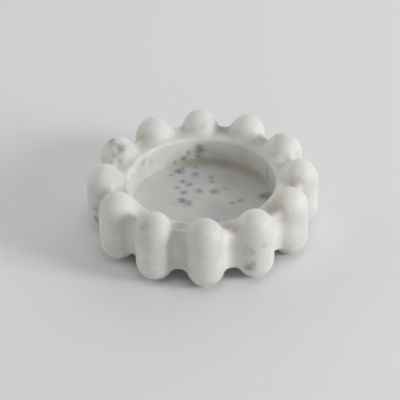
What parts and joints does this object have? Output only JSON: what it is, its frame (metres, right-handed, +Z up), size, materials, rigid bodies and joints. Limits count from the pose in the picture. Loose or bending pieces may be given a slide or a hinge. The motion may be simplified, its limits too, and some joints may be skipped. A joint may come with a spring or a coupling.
{
  "type": "ring dish",
  "caption": "Round carved stone ring dish: a chain of domed posts blended by concave webs around a shallow flat-floored recess, standing on padded rounded feet. Holds rings and trinkets.",
  "frame": {"origin": "on the surface that the dish stands on, at the axis of the recess", "axes": "+Z up along the axis of the recess, +X through the middle of one post"},
  "size_m": [0.11, 0.11, 0.0351],
  "materials": {
    "marble": "honed, white with grey flecks",
    "pad": "matt, pale translucent silicone"
  },
  "bodies": {
    "root": {"dish_body": "marble", "foot_pad_01": "pad", "foot_pad_02": "pad", "foot_pad_03": "pad", "foot_pad_04": "pad", "foot_pad_05": "pad", "foot_pad_06": "pad", "foot_pad_07": "pad", "foot_pad_08": "pad", "foot_pad_09": "pad", "foot_pad_10": "pad", "foot_pad_11": "pad", "foot_pad_12": "pad"}
  },
  "joints": []
}
